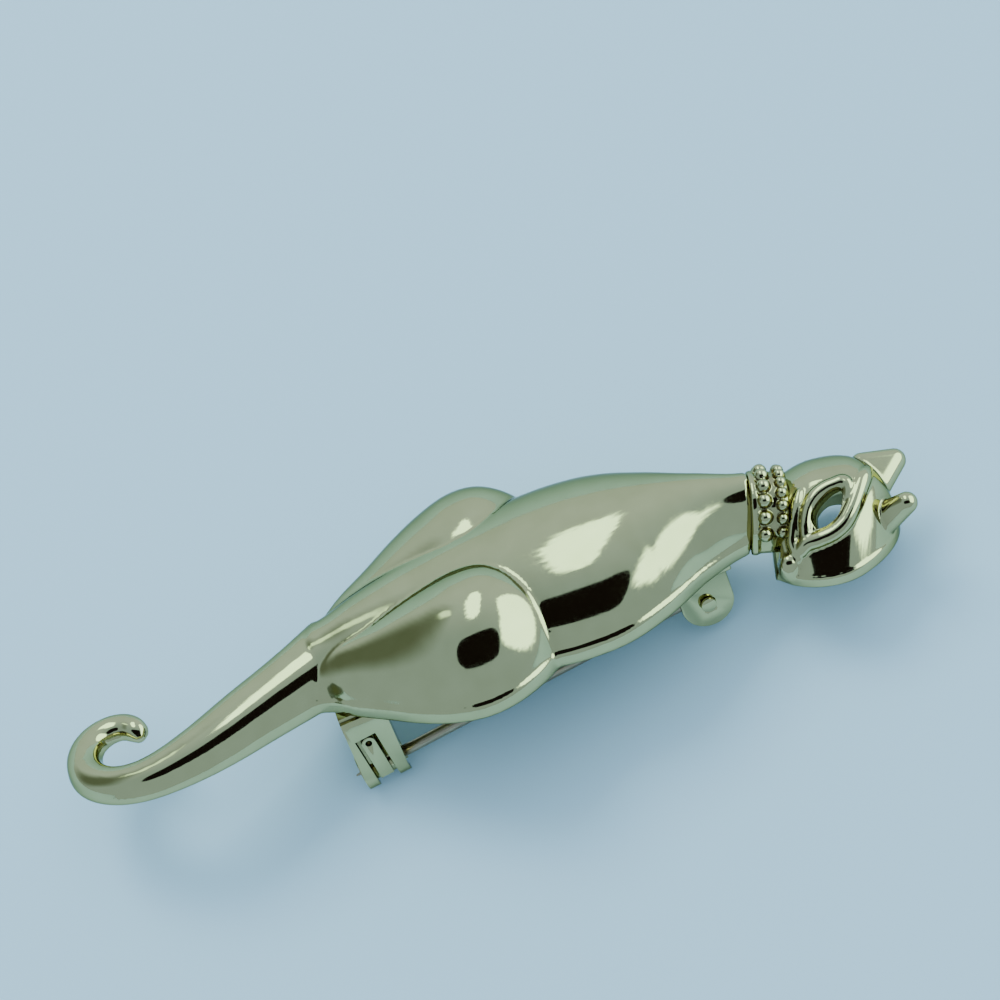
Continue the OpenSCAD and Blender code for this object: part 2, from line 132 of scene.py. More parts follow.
# Painted shade: ambient occlusion mixes the plate's colour towards brown in creases, slots and
# hollows
deep = add_node(
    tree,
    "ShaderNodeAmbientOcclusion",
    {"samples": 3, "only_local": True, "Distance": PAINTED_SHADE_REACH / 1000},
)
open_share = add_node(
    tree,
    "ShaderNodeMapRange",
    {"From Min": PAINTED_SHADE_OPEN[0], "From Max": PAINTED_SHADE_OPEN[1]},
    {"Value": deep.outputs["AO"]},
)
shaded_tint = add_node(
    tree,
    "ShaderNodeMix",
    {"data_type": "RGBA", 6: linear(PAINTED_SHADE)},
    {"Factor": open_share.outputs["Result"], 7: tint.outputs[2]},
)
waves = add_node(
    tree,
    "ShaderNodeBump",
    {"Strength": 0.10, "Distance": PEEL_DEPTH / 1000},
    {"Height": peel.outputs["Fac"]},
)
shader = add_node(
    tree,
    "ShaderNodeBsdfPrincipled",
    {"Metallic": 1.0, "Specular Tint": linear(EDGE_ON)},
    {
        "Base Color": shaded_tint.outputs[2],
        "Roughness": wear.outputs["Result"],
        "Normal": waves.outputs["Normal"],
    },
)
add_node(tree, "ShaderNodeOutputMaterial", links={"Surface": shader.outputs["BSDF"]})

# Sizes of the casting, its belt and its wall
BODY_L = 31
ROOT_X = -12.6
NECK_X = ROOT_X + BODY_L
BELT_H = 1.5
TUCK = 0.6
LIP = 0.22
WALL = 1.3
BODY_VOXEL = 0.16
HOLLOW_VOXEL = 0.3

TRUNK_W = 17
TRUNK_H = 7.2
TRUNK_REAR = 0.06
TRUNK_SLOPE = 14
TRUNK_OPEN = (4 / 22, 16 / 22)
# Trunk sections from the tail root to the collar: side offset, half width, height
TRUNK = [
    (-0.115, 0.41, 0.65),
    (-0.088, 0.52, 0.75),
    (-0.062, 0.63, 0.83),
    (-0.040, 0.75, 0.89),
    (-0.024, 0.87, 0.94),
    (-0.014, 0.96, 0.98),
    (-0.012, 0.99, 1.00),
    (-0.010, 0.94, 0.99),
    (-0.004, 0.75, 0.95),
    (0.004, 0.46, 0.85),
    (0.006, 0.28, 0.72),
]

HAUNCH_X = -0.4
HAUNCH_L = 17.8
HAUNCH_SPAN = 22.8
HAUNCH_W = 13
HAUNCH_HALF = 0.486
HAUNCH_H = 7.2
HAUNCH_REAR = 0.12
HAUNCH_ROUND = 0.6
HAUNCH_FRONT = 0.7
HAUNCH_SLOPE = 18
HAUNCH_OPEN = (5 / 16, 13 / 16)
# Haunch sections: distance from the trunk's middle, half width, height
HAUNCH = [
    (0.15, 0.33, 0.47),
    (0.22, 0.49, 0.60),
    (0.28, 0.65, 0.69),
    (0.34, 0.81, 0.80),
    (0.39, 0.92, 0.90),
    (0.42, 0.98, 0.98),
    (0.43, 1.00, 1.00),
    (0.44, 0.98, 0.98),
    (0.47, 0.94, 0.93),
]

TAIL_AT = (0.86, 0.3)
TAIL_L = 30.4
TAIL_W = 5.8
TAIL_H = 4.6
TAIL_ANGLE = 27
TAIL_ROUND = 0.96
TAIL_FLARE = 0.35
FLARE_END = 0.2
CURL = 285
# Tail sections from the root to the tip: turn so far, half width, height
TAIL = [
    (0.000, 1.00, 1.00),
    (0.000, 0.94, 0.93),
    (0.000, 0.87, 0.85),
    (0.000, 0.80, 0.76),
    (0.026, 0.70, 0.65),
    (0.072, 0.58, 0.54),
    (0.180, 0.50, 0.47),
    (0.310, 0.48, 0.43),
    (0.450, 0.44, 0.39),
    (0.700, 0.39, 0.35),
    (1.020, 0.30, 0.28),
]

# The neck's core leans forward with the collar. Its end is a smaller plug that holds the head.
COLLAR_LEAN = 16
COLLAR_L = 2.7
NECK_TURN = Matrix.Translation((NECK_X, 0, 0)) @ Matrix.Rotation(math.radians(COLLAR_LEAN), 4, "Y")
CORE_W = 3.8
CORE_H = 4
CORE_Z = 0.65
CORE_END = COLLAR_L + 1.4
PLUG = 0.76


def even(steps, first=0.0, last=1.0):
    return [first + (last - first) * k / steps for k in range(steps + 1)]


def easing(steps, first=0.0, last=1.0):
    """Shares that crowd towards the rounded end of a form."""
    return [math.sin(math.pi / 2 * k) for k in even(steps, first, last)]


def rear(reach):
    """Shares below 0, from a form's hidden start to 0."""
    return [-reach * math.cos(math.pi / 2 * k) for k in even(9, 0.0, 0.9)]


def column(table, place_in_row, share):
    """One column of a table of even steps, on a smooth curve."""
    step = share * (len(table) - 1)
    start = min(len(table) - 2, math.floor(step))
    near = [table[max(0, min(len(table) - 1, start + k))][place_in_row] for k in (-1, 0, 1, 2)]
    a, b, c, d = near
    f = step - start
    return b + 0.5 * f * (c - a + f * (2 * a - 5 * b + 4 * c - d + f * (3 * (b - c) + d - a)))


def rounded_end(share, start):
    """How much of a form is left at a share past start, where it closes in a quarter circle."""
    return math.sqrt(max(0.0, 1 - max(0.0, (share - start) / (1 - start)) ** 2))


def rounded_start(share, reach):
    """How far a form has grown at a share below 0, where it comes out of the tail."""
    return math.sqrt(max(0.02, 1 - (min(0, share) / reach) ** 2))


def dome(half, height, belt, tuck, steps=44, lip=0.0, slope=0.0):
    """Section of a domed bar that turns under below its belt line.

    The belt may stand out by a lip, and the near side may leave it at a slope, which is flatter.
    """
    start = math.radians(slope)
    over = []
    for k in range(steps + 1):
        if slope and 2 * k < steps:
            turn = start + (math.pi / 2 - start) * 2 * k / steps
            side = math.cos(turn) / math.cos(start)
            up = (math.sin(turn) - math.sin(start)) / (1 - math.sin(start))
        else:
            turn = math.pi * k / steps
            side = math.copysign(abs(math.cos(turn)) ** 0.9, math.cos(turn))
            up = math.sin(turn) ** 0.92
        over.append(((half - lip) * side, belt + (height - belt) * up))
    edge = [
        (half - lip * 0.3, belt * 0.98),
        (half, belt * 0.85),
        (half - tuck * 0.05, belt * 0.5),
        (half - tuck * 0.2, belt * 0.22),
        (half - tuck, 0),
    ]
    return over + [(-out, up) for out, up in edge] + [(0, 0)] + edge[::-1]


def hollow(half, height, tuck, wall, steps=20):
    """Section of the space under a domed bar, run out below its back."""
    across = max(0.2, half - tuck - wall)
    up = max(0.3, height - wall)
    arch = [
        (across * math.cos(math.pi * k / steps), up * math.sin(math.pi * k / steps))
        for k in range(steps + 1)
    ]
    return arch + [(-across, -1), (across, -1)]


def stand(section, place, heading=0.0):
    """A section stood up at a place, square to a heading in plan."""
    s = math.sin(math.radians(heading))
    c = math.cos(math.radians(heading))
    return [Vector((place[0] + x * s, place[1] - x * c, z)) for x, z in section]


def ring_edges(made):
    """The edges of a new ring, in order round it."""
    return list(dict.fromkeys(e for v in made["verts"] for e in v.link_edges))


def skin(bm, loops, closed=False):
    """Joins a row of edge loops by faces and closes its two ends, or joins them up."""
    for near, far in zip(loops, loops[1:]):
        bmesh.ops.bridge_loops(bm, edges=near + far)
    if closed:
        bmesh.ops.bridge_loops(bm, edges=loops[-1] + loops[0])
    else:
        bmesh.ops.edgeloop_fill(bm, edges=loops[0])
        bmesh.ops.edgeloop_fill(bm, edges=loops[-1])
    bmesh.ops.recalc_face_normals(bm, faces=bm.faces)


def loft(bm, sections, closed=False):
    """Skins a row of sections."""
    loops = []
    for section in sections:
        made = bmesh.ops.create_circle(bm, segments=len(section), radius=1)
        for vert, point in zip(made["verts"], section):
            vert.co = point
        loops.append(ring_edges(made))
    skin(bm, loops, closed)


def piece(name, bm):
    """Makes an object of a bmesh, which is then let go."""
    mesh = bpy.data.meshes.new(name)
    bm.to_mesh(mesh)
    bm.free()
    obj = bpy.data.objects.new(name, mesh)
    bpy.context.scene.collection.objects.link(obj)
    return obj


def lofted(name, *rows):
    """An object of one or more skinned rows of sections."""
    bm = bmesh.new()
    for sections in rows:
        loft(bm, sections)
    return piece(name, bm)


def settle(obj):
    """Replaces an object's mesh by what its modifiers make of it."""
    depsgraph = bpy.context.evaluated_depsgraph_get()
    made = bpy.data.meshes.new_from_object(obj.evaluated_get(depsgraph))
    obj.modifiers.clear()
    obj.data = made


def cut(obj, tool):
    """Cuts a tool out of an object and takes the tool away."""
    boolean = obj.modifiers.new("cut", "BOOLEAN")
    boolean.operation = "DIFFERENCE"
    boolean.solver = "EXACT"
    boolean.object = tool
    settle(obj)
    bpy.data.objects.remove(tool)


def cast(obj, voxel, smoothing):
    """Melts a model's overlapping forms into one skin with soft inner corners."""
    coarser = 1
    remesh = obj.modifiers.new("melt", "REMESH")
    remesh.mode = "VOXEL"
    remesh.voxel_size = voxel * coarser
    smooth = obj.modifiers.new("polish", "SMOOTH")
    smooth.factor = 0.5
    smooth.iterations = smoothing // coarser
    settle(obj)


def finish_piece(obj, material, body_name, node):
    """Gives a piece its finish and the body that it rides on, and hides the node that it stands
    for.
    """
    obj.data.materials.clear()
    obj.data.materials.append(material)
    obj.data.shade_smooth()
    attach(obj, body_name)
    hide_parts(node)


def trunk_at(u):
    return (ROOT_X + u * BODY_L, column(TRUNK, 0, u) * TRUNK_W)


def trunk_section(u):
    """A section of the trunk, whose last fifth leans forward to meet the collar."""
    forward = math.tan(math.radians(COLLAR_LEAN)) * max(0, 5 * u - 4)
    grown = rounded_start(u, TRUNK_REAR)
    half = column(TRUNK, 1, u) * TRUNK_W / 2 * grown
    high = BELT_H + (column(TRUNK, 2, u) * TRUNK_H - BELT_H) * grown
    section = dome(half, high, BELT_H, TUCK, lip=LIP, slope=TRUNK_SLOPE)
    return [p + Vector((p.z * forward, 0, 0)) for p in stand(section, trunk_at(u))]


def trunk_space(u):
    half = column(TRUNK, 1, u) * TRUNK_W / 2
    high = column(TRUNK, 2, u) * TRUNK_H
    return stand(hollow(half, high, TUCK, WALL), trunk_at(u))


def haunch_sizes(u):
    half = max(0.1, column(HAUNCH, 1, u) * rounded_end(u, HAUNCH_ROUND) * HAUNCH_W * HAUNCH_HALF)
    high = column(HAUNCH, 2, u) * rounded_end(u, HAUNCH_FRONT) ** 0.7 * HAUNCH_H
    return half, max(BELT_H + 0.1, high)


def haunch_at(u, side):
    away = side * column(HAUNCH, 0, u) * HAUNCH_SPAN / 2
    return (ROOT_X + HAUNCH_X + u * HAUNCH_L, trunk_at(u / 2)[1] + away)


def haunch_section(u, side):
    """A section of the near haunch, side -1, or of the far one, side 1."""
    half, high = haunch_sizes(u)
    grown = rounded_start(u, HAUNCH_REAR)
    half *= grown
    high = BELT_H + (high - BELT_H) * grown
    lip = min(LIP, half / 6)
    slope = HAUNCH_SLOPE if side < 0 else 0
    section = dome(half, high, BELT_H, min(TUCK, half / 2), lip=lip, slope=slope)
    return stand(section, haunch_at(u, side))


def haunch_space(u, side):
    half, high = haunch_sizes(u)
    return stand(hollow(half, high, TUCK, WALL), haunch_at(u, side))


def tail_sections(steps):
    """Sections along the tail, whose root flares on its far side to meet the trunk."""
    place = Vector((ROOT_X + TAIL_AT[0], trunk_at(0)[1] + TAIL_AT[1]))
    sections = []
    for k in range(steps + 1):
        share = k / steps
        if k:
            middle = math.radians(180 + TAIL_ANGLE - CURL * column(TAIL, 0, share - 0.5 / steps))
            place = place + Vector((math.cos(middle), math.sin(middle))) * TAIL_L / steps
        heading = 180 + TAIL_ANGLE - CURL * column(TAIL, 0, share)
        half = max(0.25, column(TAIL, 1, share) * TAIL_W / 2 * rounded_end(share, TAIL_ROUND))
        high = max(0.6, column(TAIL, 2, share) * TAIL_H * rounded_end(share, TAIL_ROUND))
        flare = TAIL_FLARE * max(0, 1 - share / FLARE_END) ** 2
        half += flare
        section = dome(half, high, min(BELT_H, high * 0.4), min(TUCK, half * 0.3), 28, half / 18)
        far_side = Vector((math.sin(math.radians(heading)), -math.cos(math.radians(heading))))
        sections.append(stand(section, place + far_side * flare, heading))
    return sections


def neck_section(half, high, low, x):
    """Section of the neck or of what fits over it, in axes that lean forward."""
    return [
        NECK_TURN @ Vector((x, -across, low + up))
        for across, up in dome(half, high, high * 0.3, half * 0.1, 28)
    ]


def body():
    core = [neck_section(CORE_W / 2, CORE_H, CORE_Z, x) for x in (-1, 0, 1, 2, COLLAR_L)]
    plug_at = (COLLAR_L - 0.3, COLLAR_L + 0.5, CORE_END)
    plug = [neck_section(CORE_W / 2 * PLUG, CORE_H * PLUG, CORE_Z, x) for x in plug_at]
    made = lofted(
        "body",
        [trunk_section(u) for u in rear(TRUNK_REAR) + even(90)],
        [haunch_section(u, -1) for u in rear(HAUNCH_REAR) + easing(56)],
        [haunch_section(u, 1) for u in rear(HAUNCH_REAR) + easing(56)],
        tail_sections(150),
        core,
        plug,
    )
    cast(made, BODY_VOXEL, 5)
    space = lofted(
        "space",
        [trunk_space(u) for u in even(40, *TRUNK_OPEN)],
        [haunch_space(u, -1) for u in easing(24, *HAUNCH_OPEN)],
        [haunch_space(u, 1) for u in easing(24, *HAUNCH_OPEN)],
    )
    cast(space, HOLLOW_VOXEL, 2)
    cut(made, space)
    made.data.transform(at_rest)
    finish_piece(made, gold_plate, "brooch", "body")


body()

# Collar
# A cast ring pushed over the neck and soldered, gold plated with the rest. It has a plain edge
# towards the body and two rows of raised round beads, the larger row next to the body.
BAND = 0.75
SEAM = 0.04
COLLAR_VOXEL = 0.055
COLLAR_Z = CORE_Z * 0.5
COLLAR_A = CORE_W / 2 + BAND
COLLAR_H = CORE_H + BAND + CORE_Z - COLLAR_Z
# Profile of the band along the neck: place, and how far out from the neck it stands
BAND_PROFILE = [
    (SEAM, 0.0),
    (SEAM, 0.80),
    (0.12, 0.95),
    (0.28, 1.0),
    (0.46, 0.98),
    (0.58, 0.86),
    (0.72, 0.80),
    (2.30, 0.80),
    (2.46, 0.90),
    (2.60, 0.86),
    (COLLAR_L, 0.70),
    (COLLAR_L, 0.0),
]
BEAD_D = 1.05
SMALL_BEAD_D = 0.85
# Rows of beads: place along the collar, first bead's angle, step between beads, count, diameter
BEAD_ROWS = [(0.36, 6, 21, 9, BEAD_D), (0.82, 8, 16.4, 11, SMALL_BEAD_D)]


def band_section(x, out):
    inner = (CORE_W / 2 + SEAM, CORE_H + 2 * SEAM, CORE_Z - SEAM)
    outer = (COLLAR_A, COLLAR_H, COLLAR_Z)
    half, high, low = [a + (b - a) * out for a, b in zip(inner, outer)]
    return neck_section(half, high, low, x)


def ball(bm, radius, placed):
    bmesh.ops.create_uvsphere(bm, u_segments=28, v_segments=18, radius=radius, matrix=placed)


def collar():
    bm = bmesh.new()
    loft(bm, [band_section(x, out) for x, out in BAND_PROFILE], closed=True)
    for share, first, step, count, size in BEAD_ROWS:
        for k in range(count):
            turn = math.radians(first + step * k)
            up = COLLAR_Z + COLLAR_H * (0.3 + 0.7 * math.sin(turn))
            at = Vector((COLLAR_L * share, COLLAR_A * math.cos(turn), up))
            ball(bm, size / 2, NECK_TURN @ Matrix.Translation(at))
    made = piece("collar", bm)
    cast(made, COLLAR_VOXEL, 3)
    made.data.transform(at_rest)
    finish_piece(made, gold_plate, "brooch", "collar")


collar()

# Head
# A hollow casting, soldered on the plug of the neck and gold plated with it. The face is turned to
# the near side, so one eye shows, cut through and rimmed. A brow runs from the muzzle along the
# lower lid to the far ear.
HEAD_L = 9.2
HEAD_W = 11
HEAD_H = 5.9
HEAD_WALL = 0.95
HEAD_DROP = 1.6
HEAD_TURN = 4
HEAD_SIDE = -0.1
HEAD_ROUND = 0.55
HEAD_TOP_ROUND = 0.68
HEAD_BELT = HEAD_H * 0.19
HEAD_TUCK = HEAD_WALL * 0.4
HEAD_LIP = 0.15
HEAD_VOXEL = 0.085
HEAD_HOLLOW_VOXEL = 0.2
CHIN_X = 1.45
CHIN_SLANT = 18
CHEEK_SWELL = 1.8
HEAD_PLACE = (
    Matrix.Translation((NECK_X + CHIN_X, HEAD_SIDE, -HEAD_DROP))
    @ Matrix.Rotation(math.radians(-HEAD_TURN), 4, "Z")
    @ Matrix.Rotation(math.radians(COLLAR_LEAN * 0.3), 4, "Y")
)
# Head sections from the chin to the forehead: half width, height
HEAD = [
    (0.66, 0.70),
    (0.84, 0.83),
    (0.95, 0.92),
    (1.00, 0.98),
    (1.00, 1.00),
    (0.95, 1.01),
    (0.88, 1.00),
    (0.82, 0.97),
    (0.76, 0.92),
]
# Places on the head in plan, as shares of its length and width
EYE = [
    (0.370, -0.312),
    (0.352, -0.272),
    (0.370, -0.231),
    (0.428, -0.182),
    (0.518, -0.138),
    (0.600, -0.124),
    (0.640, -0.136),
    (0.615, -0.200),
    (0.569, -0.266),
    (0.479, -0.307),
    (0.415, -0.316),
]
LID = [
    (0.260, -0.345),
    (0.296, -0.300),
    (0.315, -0.240),
    (0.353, -0.184),
    (0.420, -0.133),
    (0.499, -0.102),
    (0.580, -0.088),
    (0.646, -0.081),
    (0.672, -0.121),
    (0.650, -0.190),
]
BROW = [
    (0.210, -0.370),
    (0.235, -0.358),
    (0.291, -0.340),
    (0.383, -0.343),
    (0.493, -0.330),
    (0.591, -0.290),
    (0.669, -0.222),
    (0.725, -0.154),
    (0.780, -0.070),
    (0.820, 0.020),
    (0.845, 0.110),
]
CHIN = [
    (0.210, -0.400),
    (0.195, -0.348),
    (0.186, -0.304),
    (0.204, -0.269),
    (0.228, -0.222),
    (0.257, -0.171),
    (0.288, -0.119),
    (0.320, -0.060),
]
# Raised lines: their places, number of steps, how deep they are sunk, radius
RAISED = [(LID, 60, 0.2, 0.5), (BROW, 60, 0.3, 0.62), (CHIN, 40, 0.12, 0.42)]
# Way that the eye is cut, and its steps: how far along that way, and size
EYE_AXIS = Vector((-0.5, -1.2, 2.4))
EYE_DEPTHS = [(0.6, 1.0), (0.1, 1.0), (-0.25, 0.85), (-1, 0.75)]
# The muzzle's tip: place, radius, and its share along, across and up
MUZZLE_AT = (HEAD_L * 0.13, -HEAD_W * 0.375, HEAD_BELT * 1.25)
MUZZLE_R = HEAD_W * 0.09
MUZZLE_SQUASH = (0.85, 0.75, 1.15)
# Balls under each ear's skin, from its root to its tip: place as shares of the head, radius
NEAR_EAR = [(0.86, -0.15, 0.25, 0.75), (0.90, -0.13, 0.44, 0.85), (1.08, -0.18, 0.60, 0.78)]
FAR_EAR = [
    (0.80, 0.25, 0.72, 0.75),
    (0.88, 0.10, 0.50, 0.90),
    (0.93, 0.22, 0.54, 0.90),
    (1.05, 0.29, 0.62, 0.85),
]


def head_sizes(u):
    half = max(0.3, column(HEAD, 0, u) * rounded_end(u, HEAD_ROUND) * HEAD_W / 2)
    high = column(HEAD, 1, u) * rounded_end(u, HEAD_TOP_ROUND) ** 0.7 * HEAD_H
    return half, max(HEAD_BELT + 0.2, high)


def head_section(u):
    """A section of the head, whose near cheek is flatter and steeper than its far one."""
    half, high = head_sizes(u)
    tuck = min(HEAD_TUCK, half / 2)
    lip = min(HEAD_LIP, half / 6)
    section = []
    for x, z in dome(half, high, HEAD_BELT, tuck, lip=lip):
        if x > 0 and z >= HEAD_BELT:
            z = HEAD_BELT + (high - HEAD_BELT) * (1 - (x / (half - lip)) ** CHEEK_SWELL)
        section.append((x, z))
    return stand(section, (u * HEAD_L, 0))


def head_space(t):
    """Space under the head, which begins round behind the eye's low corner."""
    u = 0.34 + 0.63 * t * t
    half, high = head_sizes(u)
    opened = 0.3 + 0.7 * math.sqrt(1 - max(0, (0.54 - u) / 0.2) ** 2)
    return stand(hollow(half * opened, high, HEAD_TUCK / 2, HEAD_WALL), (u * HEAD_L, 0))


def on_head(share_x, share_y):
    """The point of the head's surface over a place in plan."""
    half, high = head_sizes(share_x)
    out = min(0.999, abs(share_y * HEAD_W) / half)
    up = 1 - out**CHEEK_SWELL if share_y < 0 else (1 - out**2.2) ** 0.5
    return Vector((share_x * HEAD_L, share_y * HEAD_W, HEAD_BELT + (high - HEAD_BELT) * up))


def line_on_head(table, steps, sunk):
    down = Vector((0, 0, sunk))
    return [on_head(column(table, 0, u), column(table, 1, u)) - down for u in even(steps)]


def ridge(bm, points, radius):
    """A raised round line along a row of points, drawn to a thin end."""
    loops = []
    last = len(points) - 1
    for k, point in enumerate(points):
        way = points[min(last, k + 1)] - points[max(0, k - 1)]
        size = radius * (0.35 + 0.65 * min(1, min(k, last - k) / last * 6) ** 0.5)
        placed = Matrix.Translation(point) @ way.to_track_quat("Z", "X").to_matrix().to_4x4()
        made = bmesh.ops.create_circle(bm, segments=14, radius=size, matrix=placed)
        loops.append(ring_edges(made))
    skin(bm, loops)


def ear(bm, balls):
    """A short lobe: the skin drawn over a few balls."""
    lobe = bmesh.new()
    for x, y, z, radius in balls:
        ball(lobe, radius, Matrix.Translation((x * HEAD_L, y * HEAD_W, z * HEAD_H)))
    hull = bmesh.ops.convex_hull(lobe, input=lobe.verts)
    bmesh.ops.delete(lobe, geom=hull["geom_interior"], context="VERTS")
    mesh = bpy.data.meshes.new("ear")
    lobe.to_mesh(mesh)
    lobe.free()
    bm.from_mesh(mesh)


def eye_cut():
    """The eye's outline pushed through the cheek, narrower towards the back."""
    ring = EYE + EYE[:3]
    rim = [on_head(column(ring, 0, u), column(ring, 1, u)) for u in even(44, 1 / 13, 12 / 13)][:-1]
    middle = sum(rim, Vector()) / len(rim)
    return lofted(
        "eye",
        [[middle + (p - middle) * size + EYE_AXIS * t for p in rim] for t, size in EYE_DEPTHS],
    )


def chin_edge():
    """A block that cuts the chin's edge off at its slant."""
    slant = Matrix.Rotation(math.radians(CHIN_SLANT), 4, "Y")
    block = Matrix.Translation((-HEAD_L / 2, 0, HEAD_H / 2)) @ Matrix.Diagonal((HEAD_L, 20, 20, 1))
    bm = bmesh.new()
    bmesh.ops.create_cube(bm, size=1, matrix=slant @ block)
    return piece("chin_edge", bm)


def head():
    bm = bmesh.new()
    loft(bm, [head_section(u) for u in easing(64)])
    ear(bm, NEAR_EAR)
    ear(bm, FAR_EAR)
    ball(bm, MUZZLE_R, Matrix.Translation(MUZZLE_AT) @ Matrix.Diagonal((*MUZZLE_SQUASH, 1)))
    for table, steps, sunk, radius in RAISED:
        ridge(bm, line_on_head(table, steps, sunk), radius)
    made = piece("head", bm)
    cast(made, HEAD_VOXEL, 9)
    space = lofted("space", [head_space(t) for t in even(32)])
    cast(space, HEAD_HOLLOW_VOXEL, 2)
    cut(made, space)
    cut(made, eye_cut())
    cut(made, chin_edge())
    made.data.transform(HEAD_PLACE)
    # The head's seats clear the plug, and the collar with its beads
    room = SMALL_BEAD_D / 2 + 2 * SEAM
    seats = [
        (CORE_W / 2 * PLUG + SEAM, CORE_H * PLUG + 2 * SEAM, CORE_Z - SEAM, CORE_END + SEAM),
        (COLLAR_A + room, COLLAR_H + 2 * room, COLLAR_Z - room, COLLAR_L + SEAM),
    ]
    for half, high, low, end in seats:
        cut(made, lofted("seat", [neck_section(half, high, low, x) for x in (0, end)]))
    made.data.transform(at_rest)
    finish_piece(made, gold_plate, "brooch", "head")


head()

# Findings
# The hinge plate, its rivet and the two parts of the safety catch are stamped and gold plated with
# the rest, and tumbling has rounded their edges slightly. The pin is drawn wire of a browner metal,
# which turns on the rivet.
WIRE = "#B9A68A"
WIRE_TONED = "#93806A"
DRAW_LINE = 0.12
DRAW_STRETCH = 0.08
PIN_ANGLE = math.radians(-11)

# Drawn wire keeps fine lines along its length, which blur what it mirrors
pin_steel, tree = new_material("toned drawn steel wire")
place = add_node(tree, "ShaderNodeTexCoord")
stretch = add_node(
    tree,
    "ShaderNodeMapping",
    {"Scale": (DRAW_STRETCH, 1, 1), "Rotation": (0, 0, PIN_ANGLE)},
    {"Vector": place.outputs["Object"]},
)
drawn = add_node(
    tree,
    "ShaderNodeTexNoise",
    {"Scale": 1000 / DRAW_LINE, "Detail": 2.0},
    {"Vector": stretch.outputs["Vector"]},
)
sheen = add_node(
    tree,
    "ShaderNodeMapRange",
    {"To Min": 0.2, "To Max": 0.38},
    {"Value": drawn.outputs["Fac"]},
)
tone = add_node(
    tree,
    "ShaderNodeMix",
    {"data_type": "RGBA", 6: linear(WIRE), 7: linear(WIRE_TONED)},
    {"Factor": drawn.outputs["Fac"]},
)
shader = add_node(
    tree,
    "ShaderNodeBsdfPrincipled",
    {"Metallic": 1.0},
    {"Base Color": tone.outputs[2], "Roughness": sheen.outputs["Result"]},
)
add_node(tree, "ShaderNodeOutputMaterial", links={"Surface": shader.outputs["BSDF"]})

# Angles in degrees: faces that count as one, edges that are rounded, edges that are drawn sharp
FLAT = 1.5
CORNER = 40
DRAWN_SHARP = 32


def finding(node, material, body_name, edge):
    """A part of the solid model, with its sharp edges rounded off by so many millimetres."""
    bm = bmesh.new()
    bm.from_mesh(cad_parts[node].data)
    bmesh.ops.transform(bm, matrix=Matrix.Scale(1000, 4), verts=bm.verts)
    bmesh.ops.remove_doubles(bm, verts=bm.verts, dist=0.002)
    bmesh.ops.dissolve_limit(bm, angle_limit=math.radians(FLAT), verts=bm.verts, edges=bm.edges)
    sharp = [e for e in bm.edges if e.is_manifold and e.calc_face_angle(0) > math.radians(CORNER)]
    bmesh.ops.bevel(
        bm,
        geom=sharp,
        offset=edge,
        segments=2,
        profile=0.5,
        affect="EDGES",
        material=-1,
        clamp_overlap=True,
    )
    bmesh.ops.transform(bm, matrix=Matrix.Scale(MM, 4), verts=bm.verts)
    made = piece(node + "_part", bm)
    finish_piece(made, material, body_name, node)
    made.data.set_sharp_from_angle(angle=math.radians(DRAWN_SHARP))


finding("hinge_plate", gold_plate, "brooch", 0.09)
finding("hinge_rivet", gold_plate, "brooch", 0.06)
finding("catch_housing", gold_plate, "brooch", 0.07)
finding("catch_rotor", gold_plate, "lever", 0.05)
finding("pin_stem", pin_steel, "pin", 0.05)

# Camera
# It looks down on the near side from a little to the right of the brooch's middle, as the photo
# does, through a lens that is long enough to keep the brooch's proportions.
CAMERA_AT = Vector((25.91, -100.51, 187.39)) * MM
CAMERA_RIGHT = Vector((0.951, -0.197, -0.238)).normalized()
CAMERA_BACK = Vector((0.108, -0.51, 0.853)).normalized()
camera_up = CAMERA_BACK.cross(CAMERA_RIGHT).normalized()
camera_right = camera_up.cross(CAMERA_BACK)
camera = bpy.data.objects.new("camera", bpy.data.cameras.new("camera"))
camera.data.sensor_width = 36
camera.data.lens = 105.84
camera.data.clip_start = 0.01
camera.data.clip_end = 20
camera.matrix_world = Matrix.Translation(CAMERA_AT) @ Matrix(
    (camera_right, camera_up, CAMERA_BACK)
).transposed().to_4x4()
bpy.context.scene.collection.objects.link(camera)
bpy.context.scene.camera = camera

# Studio
# A plain pale floor under soft light from above and behind. The polish shows what stands round it,
# so glowing panes, a dark card and a dim one, which only the polish sees, give it the lights and
# darks of the photo.
FLOOR = "#C1DEED"
FLOOR_HALF = 1.5
FLOOR_GAP = 0.0002
ROOM_FRONT = "#9EC0D8"
ROOM_BACK = "#C8E9FF"
ROOM_TURN = math.radians(20)
ROOM_GLOW = 1.3
LAMP = "#D8F0F4"
WINDOW = "#D2FFF4"
DARK_CARD = "#2A2526"
DIM_CARD = "#7E9690"
# Metres from the brooch to the panes, and how much their corners are rounded
PANE_FAR = 0.6
PANE_CORNER = 0.3

floor_material, tree = new_material("pale matt backdrop")
shader = add_node(
    tree,
    "ShaderNodeBsdfPrincipled",
    {"Base Color": linear(FLOOR), "Roughness": 0.9},
)
add_node(tree, "ShaderNodeOutputMaterial", links={"Surface": shader.outputs["BSDF"]})
bm = bmesh.new()
bmesh.ops.create_grid(bm, x_segments=1, y_segments=1, size=FLOOR_HALF)
floor = piece("floor", bm)
floor.data.transform(Matrix.Translation((0, 0, -FLOOR_GAP)))
floor.data.materials.append(floor_material)

